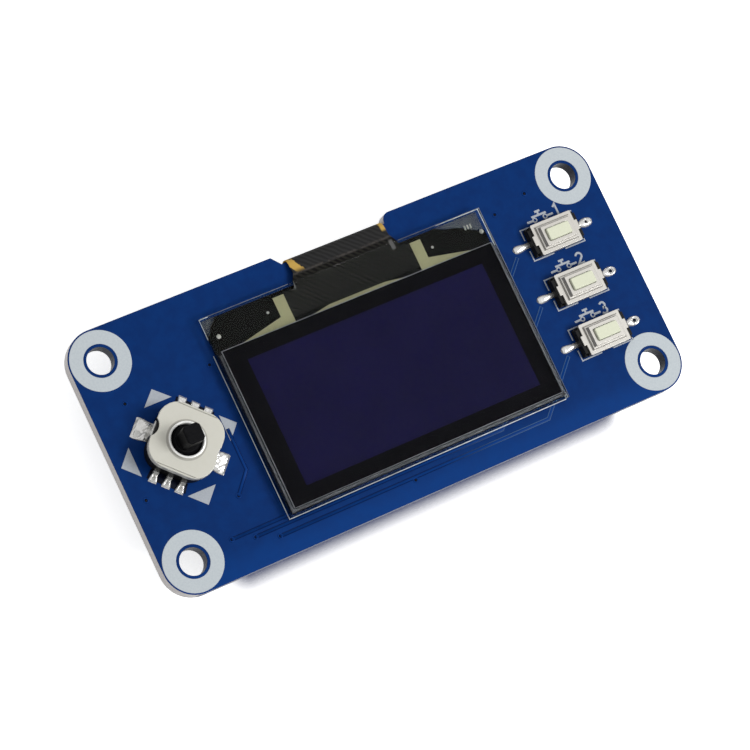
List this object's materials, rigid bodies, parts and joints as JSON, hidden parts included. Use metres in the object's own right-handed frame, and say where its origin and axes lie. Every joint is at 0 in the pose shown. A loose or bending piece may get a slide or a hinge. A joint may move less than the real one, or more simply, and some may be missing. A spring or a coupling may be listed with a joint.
{
  "type": "small display module with keys",
  "caption": "Blue circuit board with a small glass dot-matrix display folded on by a ribbon, a tilting stick switch, push keys and a socket strip on its underside.",
  "frame": {"origin": "centre of the four mounting holes, on the underside of the board", "axes": "+Z out of the board's display side, +X along the long edge from the stick switch to the keys, +Y towards the edge that the ribbon folds over"},
  "size_m": [0.065, 0.03, 0.0127],
  "materials": {
    "solder_mask": "satin blue solder mask over glass-fibre laminate",
    "foam_tape": "black double-sided tape",
    "panel_glass": "clear polished glass",
    "panel_black": "black coating",
    "picture": "unlit display layer, dark violet",
    "electrode": "dull pale gold film",
    "polarizer": "dark glossy film",
    "ribbon": "dark coverlay on amber film",
    "chip_black": "matt black",
    "solder": "bright solder",
    "switch_black": "matt black moulding",
    "switch_cover": "satin nickel-plated steel",
    "stem_black": "satin black moulding",
    "button_cream": "satin pale cream moulding",
    "spring_steel": "bright spring steel",
    "tinned_lead": "tinned",
    "socket_black": "matt black moulding",
    "contact_gold": "thin gold plating",
    "capacitor": "matt tan ceramic",
    "resistor": "black glaze on white ceramic"
  },
  "bodies": {
    "module": {"board": "solder_mask", "display_tape": "foam_tape", "display_back_glass": "panel_glass", "display_seal_frame": "panel_black", "display_picture_layer": "picture", "display_contact_strips": "electrode", "display_ledge_coating": "panel_black", "display_front_glass": "panel_glass", "display_polarizer": "polarizer", "display_ribbon": "ribbon", "display_driver_chip": "chip_black", "display_ribbon_solder": "solder", "stick_base": "switch_black", "stick_cover": "switch_cover", "stick_centre_dome": "spring_steel", "stick_side_contacts": "spring_steel", "stick_leads": "tinned_lead", "stick_anchor_tabs": "tinned_lead", "stick_solder": "solder", "socket_housing": "socket_black", "socket_contacts": "contact_gold", "capacitor_bodies": "capacitor", "capacitor_ends": "tinned_lead", "resistor_bodies": "resistor", "resistor_ends": "tinned_lead", "key_1_base": "switch_black", "key_1_cover": "switch_cover", "key_1_dome": "spring_steel", "key_1_feet": "tinned_lead", "key_1_solder": "solder", "key_2_base": "switch_black", "key_2_cover": "switch_cover", "key_2_dome": "spring_steel", "key_2_feet": "tinned_lead", "key_2_solder": "solder", "key_3_base": "switch_black", "key_3_cover": "switch_cover", "key_3_dome": "spring_steel", "key_3_feet": "tinned_lead", "key_3_solder": "solder"},
    "tilt_ring": {"stick_tilt_ring": "switch_black"},
    "rocker": {"stick_rocker": "switch_black"},
    "stem": {"stick_stem": "stem_black"},
    "key_1_press": {"key_1_button": "button_cream"},
    "key_2_press": {"key_2_button": "button_cream"},
    "key_3_press": {"key_3_button": "button_cream"}
  },
  "joints": [
    {"name": "stick_up_down", "type": "hinge", "parent": "module", "child": "tilt_ring", "pos_m": [-0.02502, 0.00005, 0.00325], "axis": [1, 0, 0], "range_deg": [-8, 8], "stiffness_Nm_per_rad": 0.03},
    {"name": "stick_left_right", "type": "hinge", "parent": "tilt_ring", "child": "rocker", "pos_m": [-0.02502, 0.00005, 0.00325], "axis": [0, 1, 0], "range_deg": [-8, 8], "stiffness_Nm_per_rad": 0.03},
    {"name": "stick_press", "type": "slide", "parent": "rocker", "child": "stem", "axis": [0, 0, -1], "range_m": [0, 0.0002], "stiffness_N_per_m": 5000, "deforming": ["stick_centre_dome"]},
    {"name": "key_1_press", "type": "slide", "parent": "module", "child": "key_1_press", "axis": [0, 0, -1], "range_m": [0, 0.00025], "stiffness_N_per_m": 5000, "deforming": ["key_1_dome"]},
    {"name": "key_2_press", "type": "slide", "parent": "module", "child": "key_2_press", "axis": [0, 0, -1], "range_m": [0, 0.00025], "stiffness_N_per_m": 5000, "deforming": ["key_2_dome"]},
    {"name": "key_3_press", "type": "slide", "parent": "module", "child": "key_3_press", "axis": [0, 0, -1], "range_m": [0, 0.00025], "stiffness_N_per_m": 5000, "deforming": ["key_3_dome"]}
  ]
}
